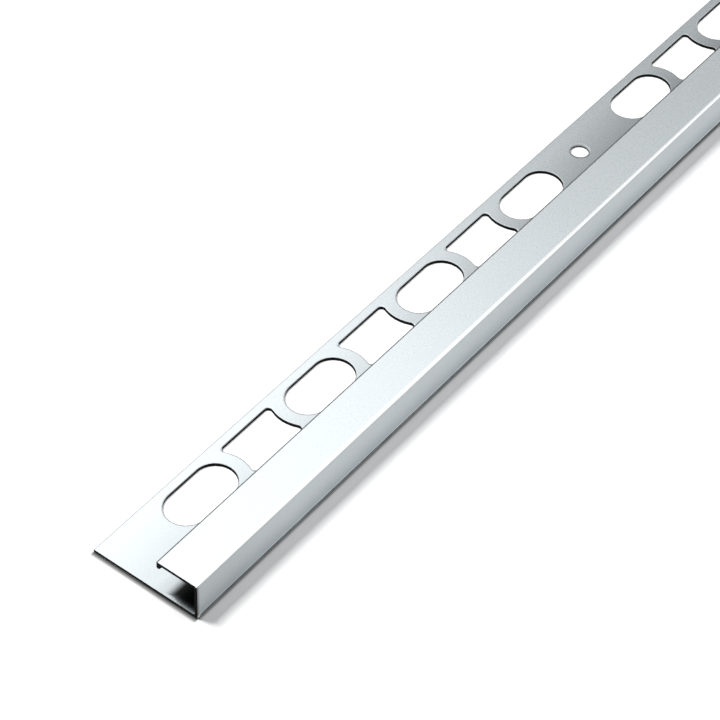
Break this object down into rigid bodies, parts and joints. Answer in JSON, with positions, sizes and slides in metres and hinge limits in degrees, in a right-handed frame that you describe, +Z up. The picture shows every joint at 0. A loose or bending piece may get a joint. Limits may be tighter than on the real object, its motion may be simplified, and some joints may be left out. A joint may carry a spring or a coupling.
{
  "type": "tile edge trim",
  "caption": "Box-edge aluminium tile trim with a lipped top flange and a perforated anchoring leg, for the outer edge of tiled surfaces.",
  "frame": {"origin": "middle of the underside of the bar, where it lies on a level floor", "axes": "+X along the bar, from the cut end that the picture shows to the far one; +Y from the visible wall to the leg's free edge; +Z up, out of the top face"},
  "size_m": [1, 0.028, 0.01],
  "materials": {
    "anodised_aluminium": "satin natural anodised"
  },
  "bodies": {
    "root": {"edge_trim": "anodised_aluminium"}
  },
  "joints": []
}
